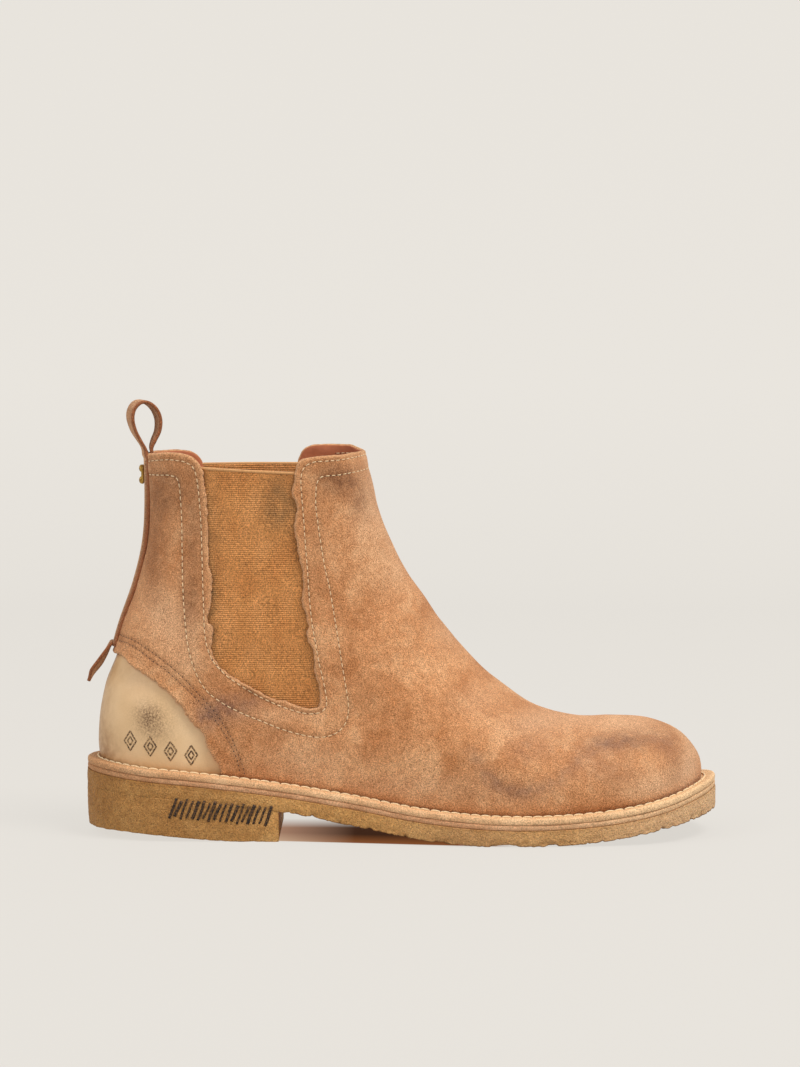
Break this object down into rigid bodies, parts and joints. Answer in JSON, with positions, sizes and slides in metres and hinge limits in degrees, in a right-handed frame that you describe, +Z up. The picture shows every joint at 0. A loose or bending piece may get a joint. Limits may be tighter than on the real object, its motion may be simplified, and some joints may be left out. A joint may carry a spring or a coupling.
{
  "type": "chelsea boot",
  "caption": "Ankle-high slip-on suede boot for the right foot, with elastic side gores, a bare smooth heel cap, a pull loop and a stitched welt over a crepe sole and heel.",
  "frame": {"origin": "on the ground under the middle of the sole's length, bottom centre of the box", "axes": "+X to the toe, +Y to the inner (medial) side of the foot, +Z up; the outer (lateral) side faces -Y"},
  "size_m": [0.3, 0.1051, 0.2055],
  "materials": {
    "outsole": "matte, pitted natural crepe with a crumbly lower edge",
    "heel_lift": "matte, pitted natural crepe",
    "midsole": "natural veg-tan edge",
    "welt": "natural veg-tan, grooved edge",
    "welt_stitches": "waxed cream thread",
    "cork_filler": "ground cork in a soft binder",
    "shank": "plain steel strip",
    "insole_board": "vegetable-tanned insole",
    "heel_nails": "plain brass nails",
    "footbed": "smooth rust-brown sock",
    "upper": "worn camel suede with raw edges",
    "lining_front": "rust-brown lining leather",
    "lining_rear": "rust-brown lining leather",
    "toe_puff": "resin-stiffened fabric",
    "heel_cap": "smooth cream leather with a soft gloss",
    "heel_stiffener": "pressed leather board",
    "gore_lateral": "ribbed ochre elastic",
    "gore_medial": "ribbed ochre elastic",
    "gore_seams_lateral": "cream thread",
    "gore_seams_medial": "cream thread",
    "heel_cap_seams": "tan thread in dark holes",
    "back_strip": "camel suede strip, orange-brown raw edges",
    "back_strip_seams": "cream thread",
    "brass_plate": "small plain plate",
    "brass_rivets": "domed heads",
    "pull_loop": "camel suede strap, orange-brown raw edges",
    "strip_tail": "camel suede strap, orange-brown raw edges"
  },
  "bodies": {
    "boot": {"outsole": "outsole", "heel_lift": "heel_lift", "midsole": "midsole", "welt": "welt", "welt_stitches": "welt_stitches", "cork_filler": "cork_filler", "shank": "shank", "insole_board": "insole_board", "heel_nails": "heel_nails", "footbed": "footbed", "upper": "upper", "lining_front": "lining_front", "lining_rear": "lining_rear", "toe_puff": "toe_puff", "heel_cap": "heel_cap", "heel_stiffener": "heel_stiffener", "gore_lateral": "gore_lateral", "gore_medial": "gore_medial", "gore_seams_lateral": "gore_seams_lateral", "gore_seams_medial": "gore_seams_medial", "heel_cap_seams": "heel_cap_seams", "back_strip": "back_strip", "back_strip_seams": "back_strip_seams", "brass_plate": "brass_plate", "brass_rivets": "brass_rivets"},
    "pull_loop": {"pull_loop": "pull_loop"},
    "strip_tail": {"strip_tail": "strip_tail"}
  },
  "joints": [
    {"name": "loop_flex", "type": "hinge", "parent": "boot", "child": "pull_loop", "pos_m": [-0.1194, 0, 0.1826], "axis": [0, 1, 0], "range_deg": [-45, 45], "stiffness_Nm_per_rad": 0.01},
    {"name": "tail_flex", "type": "hinge", "parent": "boot", "child": "strip_tail", "pos_m": [-0.1404, 0, 0.087], "axis": [0, 1, 0], "range_deg": [-18, 45], "stiffness_Nm_per_rad": 0.004}
  ]
}
